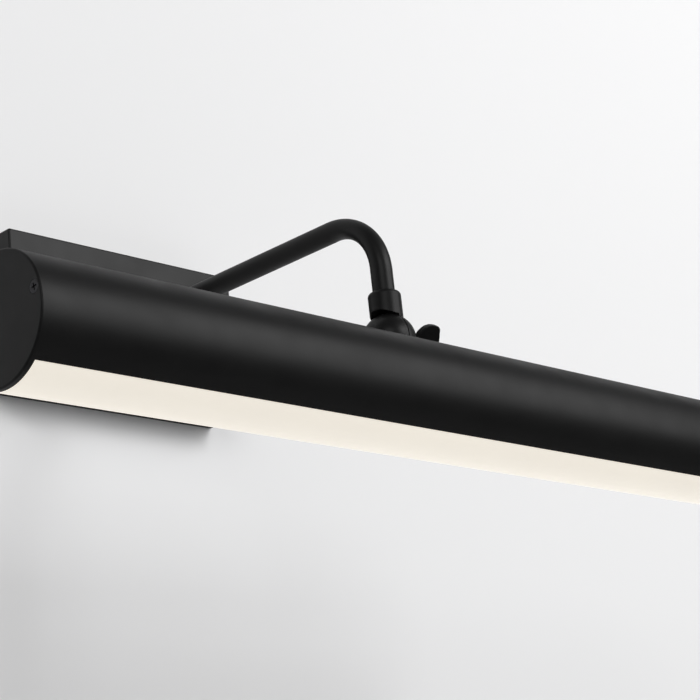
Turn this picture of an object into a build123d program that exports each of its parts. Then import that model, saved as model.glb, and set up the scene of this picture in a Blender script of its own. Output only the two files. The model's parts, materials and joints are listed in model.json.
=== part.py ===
from build123d import *
import os
from math import cos, radians, sin, sqrt

# Picture light. Millimetres. The origin is the middle of the wall plate's back, on the wall.
# +X runs along the shade, +Y points into the wall and +Z is up, so the room is at -Y.
os.makedirs("parts", exist_ok=True)

# ---------------------------------------------------------------- driving dimensions
# wall plate: a box-shaped cover, open at the back, over a steel strap
PLATE_WIDTH = 143.0
PLATE_HEIGHT = 78.0
PLATE_DEPTH = 23.0
PLATE_WALL = 1.5
PLATE_CORNER_R = 1.2
STRAP_HEIGHT = 24.0
STRAP_T = 1.5
TAB_HEIGHT = 14.0
TAB_REACH = 15.0
BOX_SCREW_SPACING = 83.3
BOX_SLOT_WIDTH = 4.4
BOX_SLOT_LENGTH = 9.0
SUPPLY_HOLE_R = 7.0
SUPPLY_HOLE_X = -22.0
GROUND_SCREW_X = 57.0
COVER_SCREW_Y = -9.5
COVER_SCREW_R = 1.85
COVER_SCREW_LENGTH = 5.5
COVER_SCREW_HEAD = (3.6, 2.2)
GROUND_SCREW_HEAD = (4.0, 2.6)
BLOCK_X = 21.0
BLOCK_SIZE = (20.0, 11.0, 16.0)
BLOCK_EDGE_R = 0.8
BLOCK_SCREW_R = 2.0
BLOCK_SCREW_DEPTH = 3.0
BLOCK_SCREW_T = 2.0
BLOCK_SCREW_PITCH = 8.0

# arm: one tube with a single bend
TUBE_R = 5.0
TUBE_WALL = 1.5
ARM_REACH = 174.0
ARM_DROP = 60.5
BEND_R = 27.0
TUBE_TAIL = 8.5
FLANGE_WALL = 4.0
FLANGE_T = 5.0
NUT_WALL = 1.5
NUT_T = 3.0
WASHER_T = 1.0
WASHER_WALL = 3.5

# swivel: two half balls on one stud, split across X
BALL_R = 12.0
SPLIT_GAP = 0.6
COLLAR_WALL = 2.4
COLLAR_ABOVE_BALL = 10.3
COLLAR_ROUND = 2.0
SOCKET_FLOOR_T = 1.5
STUD_R = 2.5
STUD_COVER = 4.0
STUD_PROUD = 3.0
STUD_CHAMFER = 0.6
BOSS_WALL = 2.5
POCKET_WALL = 3.0
POCKET_SKIN = 1.1
FLAT_CUT = 2.0
WIRE_HOLE_R = 2.2
WIRE_HOLE_X = 2.7
WIRE_R = 0.8
WIRE_X = 2.2
WIRE_SPREAD = 0.9
WIRE_PLANE_Y = -7.0
WIRE_TURN_R = 3.0
WIRE_STANDOFF = 1.5
NECK_WIRE_TAIL = 6.0
NECK_WIRE_TURN_R = 5.0

# wing nut
CLAMP_WASHER_WALL = 3.5
CLAMP_WASHER_T = 1.0
HUB_WALL = 2.3
HUB_TOP_WALL = 1.4
HUB_LENGTH = 8.0
WING_T = 2.2
WING_TIP_R = 5.0
WING_SPAN = 11.0
WING_ROOT = 4.4
WING_RISE = 18.4
WING_GAP = 6.4
WING_ANGLE = 35.0

# shade
SHADE_LENGTH = 457.0
SHADE_R = 25.0
SHADE_WALL = 1.5
NECK_LENGTH = 22.5
NECK_ANGLE = 38.0
DIFFUSER_HALF_ANGLE = 40.5
DIFFUSER_T = 2.0
DIFFUSER_LEG_T = 1.2
DIFFUSER_LEG_ANGLE = 6.0
CAP_T = 2.5
CAP_ROUND = 0.8
PORT_R = 2.6
PORT_SINK = 0.8
PORT_ANGLE = 14.0
SCREW_R = 1.25
SCREW_HEAD_R = 2.6
CAP_SCREW_LENGTH = 10.0
SADDLE_T = 1.8
SADDLE_LENGTH = 18.0
SADDLE_WIDTH = 14.0

# light engine inside the shade
TRAY_T = 1.5
LEDGE_REACH = 3.0
LEDGE_T = 1.5
BOARD_END_GAP = 11.5
BOARD_WIDTH = 16.0
BOARD_T = 1.2
BOARDS = 2
BOARD_GAP = 4.0
CHIP_SIZE = (3.5, 2.8, 0.8)
CHIPS_PER_BOARD = 24
BOARD_SCREW_END = 12.5
BOARD_SCREW_INSET = 2.5
BOARD_SCREW_HEAD = (2.2, 1.4)
DRIVER_SIZE = (110.0, 26.0, 15.0)
DRIVER_START = 35.0
EAR_LENGTH = 9.0
DRIVER_EDGE_R = 1.5
EAR_T = 2.0
DRIVER_SCREW_HEAD = (2.4, 1.6)
LEAD_R = 0.75
LEAD_SPREAD = 3.0
LEAD_REACH = 20.0
LEAD_TURN_R = 4.0

# clearances
FIT = 0.2
TRAY_CLEARANCE = 0.1
RUNNING = 0.06
RECESS_CLEARANCE = 1.0
TAB_CLEARANCE = 0.3

# ---------------------------------------------------------------- places worked out
PLATE_FRONT = -PLATE_DEPTH
PLATE_INSIDE = PLATE_FRONT + PLATE_WALL
TAB_OUTSIDE = PLATE_WIDTH / 2 - PLATE_WALL - TAB_CLEARANCE
TUBE_BORE_R = TUBE_R - TUBE_WALL
COLLAR_R = TUBE_R + COLLAR_WALL
NUT_FLATS = 2 * (TUBE_R + NUT_WALL)

RECESS_R = BALL_R + RECESS_CLEARANCE
SOCKET_FLOOR = RECESS_R + SOCKET_FLOOR_T
POCKET_R = BALL_R - POCKET_WALL
POCKET_DEPTH = sqrt((BALL_R - POCKET_SKIN)**2 - POCKET_R**2)
BOSS_R = STUD_R + BOSS_WALL
FLAT_X = BALL_R - FLAT_CUT
NUT_SEAT = FLAT_X + CLAMP_WASHER_T
STUD_TAIL = BALL_R - STUD_COVER
STUD_TIP = NUT_SEAT + HUB_LENGTH + STUD_PROUD
WIRE_END = BOSS_R + WIRE_STANDOFF

SHADE_OFFSET = SHADE_R + NECK_LENGTH
BALL = Vector(0, PLATE_FRONT - ARM_REACH, -ARM_DROP)
NECK_DIRECTION = Vector(0, -sin(radians(NECK_ANGLE)), -cos(radians(NECK_ANGLE)))
SHADE_AXIS = BALL + NECK_DIRECTION * SHADE_OFFSET
SHADE_BORE_R = SHADE_R - SHADE_WALL

ARM_SIDE = Plane(origin=BALL, x_dir=(1, 0, 0), z_dir=(0, 0, 1))
NECK_SIDE = Plane(origin=BALL, x_dir=(-1, 0, 0), z_dir=NECK_DIRECTION)
STUD_PLANE = Plane(origin=BALL, x_dir=(0, 1, 0), z_dir=(1, 0, 0))
ALONG_X = (0, 90, 0)
ALONG_Y = (90, 0, 0)
BASE = (Align.CENTER, Align.CENTER, Align.MIN)
TOP = (Align.CENTER, Align.CENTER, Align.MAX)

TRAY_TOP = SHADE_AXIS.Z
TRAY_BOTTOM = TRAY_TOP - TRAY_T
BOARD_BOTTOM = TRAY_BOTTOM - BOARD_T
PORTS = [
    (side * (SHADE_BORE_R - PORT_R + PORT_SINK) * cos(radians(PORT_ANGLE)),
     (SHADE_BORE_R - PORT_R + PORT_SINK) * sin(radians(PORT_ANGLE)))
    for side in (1, -1)
]
BOARD_LENGTH = (SHADE_LENGTH - 2 * BOARD_END_GAP - (BOARDS - 1) * BOARD_GAP) / BOARDS
BOARD_SCREW_PITCH = BOARD_LENGTH / 2 - BOARD_SCREW_END
BOARD_CENTRES = [(n - (BOARDS - 1) / 2) * (BOARD_LENGTH + BOARD_GAP) for n in range(BOARDS)]


def section_at(x):
    """The shade's cross-section plane at x: local X is the row's Y and local Y is its Z."""
    return Plane(origin=(x, SHADE_AXIS.Y, SHADE_AXIS.Z), x_dir=(0, 1, 0), z_dir=(1, 0, 0))


def wedge(half_angle):
    """Corners of a triangle that opens straight down from the shade's axis."""
    far = 2.0 * SHADE_R
    across, down = far * sin(radians(half_angle)), far * cos(radians(half_angle))
    return [(0, 0), (across, -down), (-across, -down)]


def swivel_half(reach):
    """Adds one half of the swivel to the open part: its ball is on local +X, its collar on +Z."""
    Sphere(BALL_R)
    Cylinder(COLLAR_R, reach, align=BASE)
    with Locations(Location((SPLIT_GAP / 2, 0, 0), ALONG_X)):
        Cylinder(RECESS_R, 2 * RECESS_R, align=TOP, mode=Mode.SUBTRACT)
        Cylinder(POCKET_R, POCKET_DEPTH, align=BASE, mode=Mode.SUBTRACT)
        Cylinder(BOSS_R, POCKET_DEPTH, align=BASE)
    with Locations((WIRE_HOLE_X, 0, BOSS_R + FIT)):
        Cylinder(WIRE_HOLE_R, SOCKET_FLOOR, align=BASE, mode=Mode.SUBTRACT)


def pan_screw(head, core_r, length):
    """Adds a pan-head screw to the open part: its head stands on local +Z, its core goes down."""
    Cylinder(core_r, length, align=TOP)
    Cylinder(*head, align=BASE)


# ---------------------------------------------------------------- wall plate
with BuildPart() as backplate_cover:
    with Locations((0, PLATE_FRONT / 2, 0)):
        Box(PLATE_WIDTH, PLATE_DEPTH, PLATE_HEIGHT)
    fillet(backplate_cover.edges().filter_by(Axis.Y), PLATE_CORNER_R)
    fillet(backplate_cover.faces().sort_by(Axis.Y)[0].edges(), PLATE_CORNER_R)
    with Locations((0, PLATE_INSIDE / 2, 0)):
        Box(PLATE_WIDTH - 2 * PLATE_WALL, -PLATE_INSIDE, PLATE_HEIGHT - 2 * PLATE_WALL,
            mode=Mode.SUBTRACT)
    with Locations(Location((0, PLATE_FRONT, 0), ALONG_Y)):
        Cylinder(TUBE_R + FIT / 2, 3 * PLATE_WALL, mode=Mode.SUBTRACT)
    with Locations(Location((0, COVER_SCREW_Y, 0), ALONG_X)):
        Cylinder(COVER_SCREW_R + FIT, 2 * PLATE_WIDTH, mode=Mode.SUBTRACT)

with BuildPart() as mounting_strap:
    with Locations((0, -STRAP_T / 2, 0)):
        Box(2 * TAB_OUTSIDE, STRAP_T, STRAP_HEIGHT)
    for side in (1, -1):
        with Locations((side * (TAB_OUTSIDE - STRAP_T / 2), -TAB_REACH / 2, 0)):
            Box(STRAP_T, TAB_REACH, TAB_HEIGHT)
    with BuildSketch(Plane.XZ):
        with Locations((BOX_SCREW_SPACING / 2, 0), (-BOX_SCREW_SPACING / 2, 0)):
            SlotOverall(BOX_SLOT_LENGTH, BOX_SLOT_WIDTH)
        with Locations((SUPPLY_HOLE_X, 0)):
            Circle(SUPPLY_HOLE_R)
        with Locations((GROUND_SCREW_X, 0)):
            Circle(COVER_SCREW_R)
    extrude(amount=STRAP_T, mode=Mode.SUBTRACT)
    with Locations(Location((0, COVER_SCREW_Y, 0), ALONG_X)):
        Cylinder(COVER_SCREW_R, 2 * PLATE_WIDTH, mode=Mode.SUBTRACT)

with BuildPart() as cover_screws:
    for side in (1, -1):
        with Locations(Location((side * PLATE_WIDTH / 2, COVER_SCREW_Y, 0), (0, side * 90, 0))):
            pan_screw(COVER_SCREW_HEAD, COVER_SCREW_R, COVER_SCREW_LENGTH)

with BuildPart() as ground_screw:
    with Locations(Location((GROUND_SCREW_X, -STRAP_T, 0), ALONG_Y)):
        pan_screw(GROUND_SCREW_HEAD, COVER_SCREW_R, STRAP_T)

BLOCK_FRONT = -STRAP_T - BLOCK_SIZE[1]
BLOCK_SCREW_SPOTS = [
    (BLOCK_X + column * BLOCK_SCREW_PITCH / 2, row * BLOCK_SCREW_PITCH / 2)
    for column in (1, -1) for row in (1, -1)
]
with BuildPart() as terminal_block:
    with Locations((BLOCK_X, BLOCK_FRONT + BLOCK_SIZE[1] / 2, 0)):
        Box(*BLOCK_SIZE)
    fillet(terminal_block.faces().sort_by(Axis.Y)[0].edges(), BLOCK_EDGE_R)
    with Locations(*[Location((x, BLOCK_FRONT, z), ALONG_Y) for x, z in BLOCK_SCREW_SPOTS]):
        Cylinder(BLOCK_SCREW_R + FIT, BLOCK_SCREW_DEPTH, align=TOP, mode=Mode.SUBTRACT)

with BuildPart() as terminal_screws:
    with Locations(*[Location((x, BLOCK_FRONT, z), ALONG_Y) for x, z in BLOCK_SCREW_SPOTS]):
        with Locations((0, 0, -BLOCK_SCREW_DEPTH)):
            Cylinder(BLOCK_SCREW_R, BLOCK_SCREW_T, align=BASE)

# ---------------------------------------------------------------- arm
BEND_START_Z = BALL.Z + ARM_DROP - BEND_R
with BuildPart() as arm_tube:
    with BuildLine() as arm_path:
        arm_run = Line((0, PLATE_INSIDE + TUBE_TAIL, 0), (0, BALL.Y + BEND_R, 0))
        arm_bend = TangentArc(arm_run @ 1, (0, BALL.Y, -BEND_R), tangent=arm_run % 1)
        Line(arm_bend @ 1, (0, BALL.Y, BALL.Z + SOCKET_FLOOR))
    with BuildSketch(Plane(origin=arm_run @ 0, x_dir=(1, 0, 0), z_dir=arm_run % 0)):
        Circle(TUBE_R)
        Circle(TUBE_BORE_R, mode=Mode.SUBTRACT)
    sweep()

with BuildPart() as arm_flange:
    with Locations(Location((0, PLATE_FRONT, 0), ALONG_Y)):
        Cylinder(TUBE_R + FLANGE_WALL, FLANGE_T, align=BASE)
    fillet(arm_flange.faces().sort_by(Axis.Y)[0].edges(), COLLAR_ROUND)
    with Locations(Location((0, PLATE_FRONT, 0), ALONG_Y)):
        Cylinder(TUBE_R, 3 * FLANGE_T, mode=Mode.SUBTRACT)

with BuildPart() as arm_washer:
    with Locations(Location((0, PLATE_INSIDE + WASHER_T, 0), ALONG_Y)):
        Cylinder(TUBE_R + WASHER_WALL, WASHER_T, align=BASE)
        Cylinder(TUBE_R, WASHER_T, align=BASE, mode=Mode.SUBTRACT)

with BuildPart() as arm_lock_nut:
    with BuildSketch(Plane.XZ.offset(-PLATE_INSIDE - WASHER_T - NUT_T)):
        RegularPolygon(NUT_FLATS / 2, 6, major_radius=False)
        Circle(TUBE_R, mode=Mode.SUBTRACT)
    extrude(amount=NUT_T)

with BuildPart() as arm_wires:
    for side in (1, -1):
        spread = side * WIRE_SPREAD
        with BuildLine() as wire_path:
            wire_run = FilletPolyline(
                (BLOCK_X - BLOCK_SIZE[0] / 2, WIRE_PLANE_Y, spread),
                (WIRE_X, WIRE_PLANE_Y, spread),
                (WIRE_X, BALL.Y - spread, spread),
                (WIRE_X, BALL.Y - spread, BALL.Z + WIRE_END),
                radius=[WIRE_TURN_R, BEND_R + spread],
            )
        with BuildSketch(Plane(origin=wire_run @ 0, z_dir=wire_run % 0)):
            Circle(WIRE_R)
        sweep(path=wire_run)

# ---------------------------------------------------------------- swivel
with BuildPart(ARM_SIDE) as arm_knuckle:
    swivel_half(BALL_R + COLLAR_ABOVE_BALL)
    collar_top = arm_knuckle.faces().sort_by(Axis.Z)[-1]
    fillet(collar_top.edges(), COLLAR_ROUND)
    with Locations((0, 0, SOCKET_FLOOR)):
        Cylinder(TUBE_R, 2 * BALL_R, align=BASE, mode=Mode.SUBTRACT)
    with Locations(Location((FLAT_X, 0, 0), ALONG_X)):
        Cylinder(BALL_R, BALL_R, align=BASE, mode=Mode.SUBTRACT)
    with Locations(Location((0, 0, 0), ALONG_X)):
        Cylinder(STUD_R + RUNNING, 4 * BALL_R, mode=Mode.SUBTRACT)

NECK_END = SHADE_OFFSET - sqrt(SHADE_R**2 - COLLAR_R**2)
with BuildPart(NECK_SIDE) as shade_knuckle:
    swivel_half(NECK_END)
    with Locations((0, 0, SOCKET_FLOOR)):
        Cylinder(TUBE_R, SHADE_OFFSET, align=BASE, mode=Mode.SUBTRACT)
    with Locations(Location((0, 0, 0), ALONG_X)):
        Cylinder(STUD_R, STUD_TAIL, align=BASE, mode=Mode.SUBTRACT)
    with Locations(Location((0, 0, SHADE_OFFSET), ALONG_X)):
        Cylinder(SHADE_R, 4 * BALL_R, mode=Mode.SUBTRACT)

with BuildPart(STUD_PLANE) as pivot_stud:
    with Locations((0, 0, -STUD_TAIL)):
        Cylinder(STUD_R, STUD_TAIL + STUD_TIP, align=BASE)
    chamfer(pivot_stud.faces().sort_by(Axis.X)[-1].edges(), STUD_CHAMFER)

with BuildPart(STUD_PLANE) as friction_disc:
    Cylinder(BOSS_R, SPLIT_GAP)
    Cylinder(STUD_R + RUNNING, SPLIT_GAP, mode=Mode.SUBTRACT)

with BuildPart(STUD_PLANE) as clamp_washer:
    with Locations((0, 0, FLAT_X)):
        Cylinder(STUD_R + CLAMP_WASHER_WALL, CLAMP_WASHER_T, align=BASE)
        Cylinder(STUD_R + RUNNING, CLAMP_WASHER_T, align=BASE, mode=Mode.SUBTRACT)

HUB_TOP_R = STUD_R + HUB_TOP_WALL
WING_DIRECTION = Vector(0, -sin(radians(WING_ANGLE)), cos(radians(WING_ANGLE)))
WING_NORMAL = Vector(1, 0, 0).cross(WING_DIRECTION)
with BuildPart(STUD_PLANE) as wing_nut:
    with Locations((0, 0, NUT_SEAT)):
        Cone(STUD_R + HUB_WALL, HUB_TOP_R, HUB_LENGTH, align=BASE)
    with BuildSketch(Plane(origin=BALL + Vector(NUT_SEAT, 0, 0), x_dir=(1, 0, 0), z_dir=WING_NORMAL)):
        for side in (1, -1):
            with BuildSketch(mode=Mode.PRIVATE) as lobe:
                with Locations((WING_RISE - WING_TIP_R, side * (WING_SPAN - WING_TIP_R)),
                               (WING_ROOT + WING_TIP_R, side * (WING_SPAN - WING_TIP_R))):
                    Circle(WING_TIP_R)
                with Locations((HUB_LENGTH / 2, side * HUB_TOP_R / 2)):
                    Circle(HUB_LENGTH / 3)
                make_hull()
            add(lobe.sketch)
        with Locations((HUB_LENGTH + WING_GAP / 2, 0)):
            Circle(WING_GAP / 2, mode=Mode.SUBTRACT)
            Rectangle(WING_RISE, WING_GAP, align=(Align.MIN, Align.CENTER), mode=Mode.SUBTRACT)
    extrude(amount=WING_T / 2, both=True)
    with Locations((0, 0, NUT_SEAT)):
        Cylinder(STUD_R + RUNNING, 3 * HUB_LENGTH, align=BASE, mode=Mode.SUBTRACT)

# ---------------------------------------------------------------- shade
with BuildPart() as shade_shell:
    with BuildSketch(section_at(-SHADE_LENGTH / 2)):
        Circle(SHADE_R)
        Circle(SHADE_BORE_R, mode=Mode.SUBTRACT)
        for side in (1, -1):
            ledge_middle = side * (SHADE_BORE_R - LEDGE_REACH / 2 + SHADE_WALL / 4)
            ledge_width = LEDGE_REACH + SHADE_WALL / 2
            with Locations((ledge_middle, TRAY_CLEARANCE + LEDGE_T / 2),
                           (ledge_middle, -TRAY_T - TRAY_CLEARANCE - LEDGE_T / 2)):
                Rectangle(ledge_width, LEDGE_T)
        with Locations(*PORTS):
            Circle(PORT_R)
        with Locations(*PORTS):
            Circle(SCREW_R, mode=Mode.SUBTRACT)
        Polygon(*wedge(DIFFUSER_HALF_ANGLE), align=None, mode=Mode.SUBTRACT)
    extrude(amount=SHADE_LENGTH)
    with BuildSketch(NECK_SIDE):
        Circle(TUBE_R + FIT / 2)
    extrude(amount=SHADE_OFFSET, mode=Mode.SUBTRACT)

EDGE_ANGLE = DIFFUSER_HALF_ANGLE - 0.4
LEG_R = SHADE_BORE_R - FIT
with BuildPart() as diffuser:
    with BuildSketch(section_at(-SHADE_LENGTH / 2)):
        Circle(SHADE_R)
        Circle(SHADE_R - DIFFUSER_T, mode=Mode.SUBTRACT)
        Polygon(*wedge(EDGE_ANGLE), align=None, mode=Mode.INTERSECT)
    with BuildSketch(section_at(-SHADE_LENGTH / 2)):
        Circle(LEG_R)
        Circle(LEG_R - DIFFUSER_LEG_T, mode=Mode.SUBTRACT)
        Polygon(*wedge(DIFFUSER_HALF_ANGLE + DIFFUSER_LEG_ANGLE), align=None, mode=Mode.INTERSECT)
        Polygon(*wedge(EDGE_ANGLE - DIFFUSER_LEG_ANGLE), align=None, mode=Mode.SUBTRACT)
    extrude(amount=SHADE_LENGTH)

with BuildPart() as end_cap_right:
    with BuildSketch(section_at(SHADE_LENGTH / 2)):
        Circle(SHADE_R)
    extrude(amount=CAP_T)
    fillet(end_cap_right.faces().sort_by(Axis.X)[-1].edges(), CAP_ROUND)
    with Locations(section_at(SHADE_LENGTH / 2 + CAP_T)):
        with Locations(*PORTS):
            CounterSinkHole(SCREW_R, SCREW_HEAD_R, counter_sink_angle=90)

with BuildPart() as end_cap_left:
    mirror(end_cap_right.part, about=Plane.YZ)

with BuildPart() as end_cap_screws:
    with Locations(section_at(SHADE_LENGTH / 2 + CAP_T)):
        with Locations(*PORTS):
            Cylinder(SCREW_R, CAP_SCREW_LENGTH, align=TOP)
            Cone(SCREW_R, SCREW_HEAD_R, SCREW_HEAD_R - SCREW_R, align=TOP)
    mirror(about=Plane.YZ)

# ---------------------------------------------------------------- neck fixings inside the shade
SADDLE_TOP = SHADE_OFFSET - SHADE_BORE_R + SADDLE_T
with BuildPart(NECK_SIDE) as saddle_washer:
    Box(SADDLE_LENGTH, SADDLE_WIDTH, SADDLE_TOP, align=BASE)
    with Locations(Location((0, 0, SHADE_OFFSET), ALONG_X)):
        Cylinder(SHADE_BORE_R, 2 * SADDLE_LENGTH, mode=Mode.INTERSECT)
    Cylinder(TUBE_R, 2 * SHADE_OFFSET, mode=Mode.SUBTRACT)

NIPPLE_END = SADDLE_TOP + 2 * NUT_T
with BuildPart(NECK_SIDE) as neck_nipple:
    with Locations((0, 0, SOCKET_FLOOR)):
        Cylinder(TUBE_R, NIPPLE_END - SOCKET_FLOOR, align=BASE)
        Cylinder(TUBE_BORE_R, NIPPLE_END - SOCKET_FLOOR, align=BASE, mode=Mode.SUBTRACT)

with BuildPart() as neck_lock_nut:
    with BuildSketch(NECK_SIDE.offset(SADDLE_TOP)):
        RegularPolygon(NUT_FLATS / 2, 6, major_radius=False)
        Circle(TUBE_R, mode=Mode.SUBTRACT)
    extrude(amount=NUT_T)

# ---------------------------------------------------------------- light engine
TRAY_HALF_WIDTH = sqrt(SHADE_BORE_R**2 - TRAY_T**2) - 2 * FIT
BOARD_SCREW_SPOTS = [
    (centre + step * BOARD_SCREW_PITCH, side * (BOARD_WIDTH / 2 - BOARD_SCREW_INSET))
    for centre in BOARD_CENTRES for step, side in ((-1, 1), (0, -1), (1, 1))
]
DRIVER_STOP = DRIVER_START + DRIVER_SIZE[0]
DRIVER_X = (DRIVER_START + DRIVER_STOP) / 2
LEAD_X = DRIVER_STOP + LEAD_REACH
LEAD_SPOTS = [(LEAD_X, LEAD_SPREAD), (LEAD_X, -LEAD_SPREAD)]
DRIVER_SCREW_SPOTS = [
    (DRIVER_X + side * (DRIVER_SIZE[0] + EAR_LENGTH) / 2, 0) for side in (1, -1)
]
TRAY_PLANE = Plane(origin=(0, SHADE_AXIS.Y, TRAY_BOTTOM))
with BuildPart() as led_tray:
    with BuildSketch(TRAY_PLANE):
        Rectangle(SHADE_LENGTH - 2 * FIT, 2 * TRAY_HALF_WIDTH)
        with Locations(*BOARD_SCREW_SPOTS, *DRIVER_SCREW_SPOTS):
            Circle(SCREW_R, mode=Mode.SUBTRACT)
        with Locations(*LEAD_SPOTS):
            Circle(LEAD_R + FIT, mode=Mode.SUBTRACT)
    extrude(amount=TRAY_T)

with BuildPart() as led_boards:
    with BuildSketch(TRAY_PLANE):
        with Locations(*[(centre, 0) for centre in BOARD_CENTRES]):
            Rectangle(BOARD_LENGTH, BOARD_WIDTH)
        with Locations(*BOARD_SCREW_SPOTS):
            Circle(SCREW_R, mode=Mode.SUBTRACT)
        with Locations(*LEAD_SPOTS):
            Circle(LEAD_R, mode=Mode.SUBTRACT)
    extrude(amount=-BOARD_T)

CHIP_PITCH = BOARD_LENGTH / CHIPS_PER_BOARD
with BuildPart() as led_chips:
    for centre in BOARD_CENTRES:
        with Locations((centre, SHADE_AXIS.Y, BOARD_BOTTOM)):
            with GridLocations(CHIP_PITCH, 1, CHIPS_PER_BOARD, 1):
                Box(*CHIP_SIZE, align=TOP)

with BuildPart(TRAY_PLANE.offset(-BOARD_T)) as board_screws:
    with Locations(*BOARD_SCREW_SPOTS):
        Cylinder(SCREW_R, BOARD_T + TRAY_T, align=BASE)
        Cylinder(*BOARD_SCREW_HEAD, align=TOP)

with BuildPart(TRAY_PLANE.offset(TRAY_T)) as led_driver:
    with Locations((DRIVER_X, 0)):
        Box(*DRIVER_SIZE, align=BASE)
    fillet(led_driver.edges().filter_by(Axis.X), DRIVER_EDGE_R)
    with Locations((DRIVER_X, 0)):
        Box(DRIVER_SIZE[0] + 2 * EAR_LENGTH, DRIVER_SIZE[1] / 2, EAR_T, align=BASE)
    with Locations(*DRIVER_SCREW_SPOTS):
        Cylinder(SCREW_R, 4 * EAR_T, mode=Mode.SUBTRACT)

with BuildPart(TRAY_PLANE.offset(TRAY_T + EAR_T)) as driver_screws:
    with Locations(*DRIVER_SCREW_SPOTS):
        pan_screw(DRIVER_SCREW_HEAD, SCREW_R, EAR_T + TRAY_T)

NECK_ACROSS = Vector(1, 0, 0).cross(NECK_DIRECTION)
with BuildPart() as neck_wires:
    for side in (1, -1):
        entry = BALL + Vector(-WIRE_X, 0, 0) + NECK_ACROSS * (side * WIRE_SPREAD)
        turn = entry + NECK_DIRECTION * (NIPPLE_END + NECK_WIRE_TAIL)
        with BuildLine() as neck_path:
            neck_run = FilletPolyline(
                entry + NECK_DIRECTION * WIRE_END,
                turn,
                Vector(DRIVER_START, turn.Y, turn.Z),
                radius=NECK_WIRE_TURN_R,
            )
        with BuildSketch(Plane(origin=neck_run @ 0, z_dir=neck_run % 0)):
            Circle(WIRE_R)
        sweep(path=neck_run)

with BuildPart() as driver_leads:
    for side in (1, -1):
        lead_y = SHADE_AXIS.Y + side * LEAD_SPREAD
        with BuildLine() as lead_path:
            lead_run = FilletPolyline(
                (DRIVER_STOP, lead_y, TRAY_TOP + DRIVER_SIZE[2] / 2),
                (LEAD_X, lead_y, TRAY_TOP + DRIVER_SIZE[2] / 2),
                (LEAD_X, lead_y, BOARD_BOTTOM),
                radius=LEAD_TURN_R,
            )
        with BuildSketch(Plane(origin=lead_run @ 0, z_dir=lead_run % 0)):
            Circle(LEAD_R)
        sweep(path=lead_run)

# ---------------------------------------------------------------- labels and files
PIECES = {
    "backplate_cover": backplate_cover,
    "mounting_strap": mounting_strap,
    "cover_screws": cover_screws,
    "ground_screw": ground_screw,
    "terminal_block": terminal_block,
    "terminal_screws": terminal_screws,
    "arm_tube": arm_tube,
    "arm_flange": arm_flange,
    "arm_washer": arm_washer,
    "arm_lock_nut": arm_lock_nut,
    "arm_wires": arm_wires,
    "arm_knuckle": arm_knuckle,
    "shade_knuckle": shade_knuckle,
    "pivot_stud": pivot_stud,
    "friction_disc": friction_disc,
    "clamp_washer": clamp_washer,
    "wing_nut": wing_nut,
    "shade_shell": shade_shell,
    "diffuser": diffuser,
    "end_cap_right": end_cap_right,
    "end_cap_left": end_cap_left,
    "end_cap_screws": end_cap_screws,
    "saddle_washer": saddle_washer,
    "neck_nipple": neck_nipple,
    "neck_lock_nut": neck_lock_nut,
    "led_tray": led_tray,
    "led_boards": led_boards,
    "led_chips": led_chips,
    "board_screws": board_screws,
    "led_driver": led_driver,
    "driver_screws": driver_screws,
    "neck_wires": neck_wires,
    "driver_leads": driver_leads,
}
for name, piece in PIECES.items():
    piece.part.label = name
    export_step(piece.part, f"parts/{name}.step")
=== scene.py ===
# A picture light: wall plate, bent arm, clamped swivel and a long tube shade with an opal strip.
# Metres. +X runs along the shade, +Y points into the wall and +Z is up.

import json
from math import cos, pi, radians, sin

import bmesh
import bpy
from mathutils import Matrix, Vector


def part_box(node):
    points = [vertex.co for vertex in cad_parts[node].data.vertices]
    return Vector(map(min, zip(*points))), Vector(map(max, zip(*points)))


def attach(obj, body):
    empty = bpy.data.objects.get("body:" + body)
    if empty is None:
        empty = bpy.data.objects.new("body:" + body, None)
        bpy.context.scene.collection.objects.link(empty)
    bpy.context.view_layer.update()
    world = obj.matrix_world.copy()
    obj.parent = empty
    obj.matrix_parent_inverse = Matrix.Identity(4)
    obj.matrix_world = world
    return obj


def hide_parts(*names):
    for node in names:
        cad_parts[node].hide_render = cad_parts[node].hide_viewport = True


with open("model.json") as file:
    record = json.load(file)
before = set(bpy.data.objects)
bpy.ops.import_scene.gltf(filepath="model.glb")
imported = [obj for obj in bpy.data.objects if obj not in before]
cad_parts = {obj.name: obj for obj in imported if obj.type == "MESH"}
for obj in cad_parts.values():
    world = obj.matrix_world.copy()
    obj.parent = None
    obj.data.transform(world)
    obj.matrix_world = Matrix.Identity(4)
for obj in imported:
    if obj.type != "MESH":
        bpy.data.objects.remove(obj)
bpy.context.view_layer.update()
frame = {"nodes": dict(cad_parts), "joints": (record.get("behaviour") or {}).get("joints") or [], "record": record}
MM = 0.001
JOINTS = {joint["name"]: joint for joint in frame["joints"]}
SWIVEL = Vector(JOINTS["shade_tilt"]["pos_m"])


def middle_of(node):
    """The middle of a CAD node's box."""
    low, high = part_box(node)
    return Vector([(low[i] + high[i]) / 2 for i in range(3)])


SHADE_AXIS = middle_of("end_cap_right")
NECK_DIRECTION = Vector((0, SHADE_AXIS.y - SWIVEL.y, SHADE_AXIS.z - SWIVEL.z)).normalized()

# ---------------------------------------------------------------- camera
CAMERA_PAN = radians(46.88)
CAMERA_PITCH = radians(17.56)
CAMERA_ROLL = radians(6.13)
CAMERA_LENS = 102.86
CAMERA_OFFSET = Vector((-0.6217, -0.5581, -0.2666))


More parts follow.
